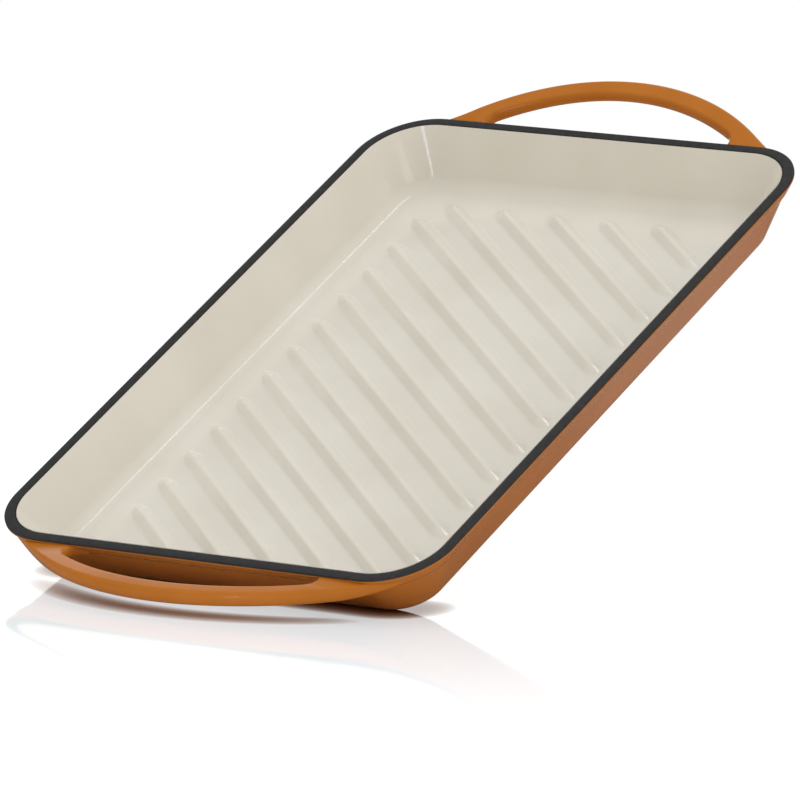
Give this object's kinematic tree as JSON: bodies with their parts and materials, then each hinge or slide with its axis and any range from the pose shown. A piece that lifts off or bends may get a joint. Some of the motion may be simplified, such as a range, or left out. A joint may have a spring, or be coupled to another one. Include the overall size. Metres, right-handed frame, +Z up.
{
  "type": "griddle plate",
  "caption": "Shallow rectangular cast-iron griddle tray with diagonal floor ribs, sloping walls and a loop handle at each short end, enamelled inside and out.",
  "frame": {"origin": "centre of the flat base's underside", "axes": "+X along the length, through both handles; +Y across the width; +Z up, out of the open tray"},
  "size_m": [0.391, 0.22, 0.0369],
  "materials": {
    "bare_iron": "as cast, under the enamel",
    "outer_enamel": "gloss caramel-orange enamel",
    "inner_enamel": "satin-gloss cream enamel",
    "rim_enamel": "matt black enamel"
  },
  "bodies": {
    "root": {"iron_casting": "bare_iron", "outer_enamel": "outer_enamel", "inner_enamel": "inner_enamel", "rim_enamel": "rim_enamel"}
  },
  "joints": []
}
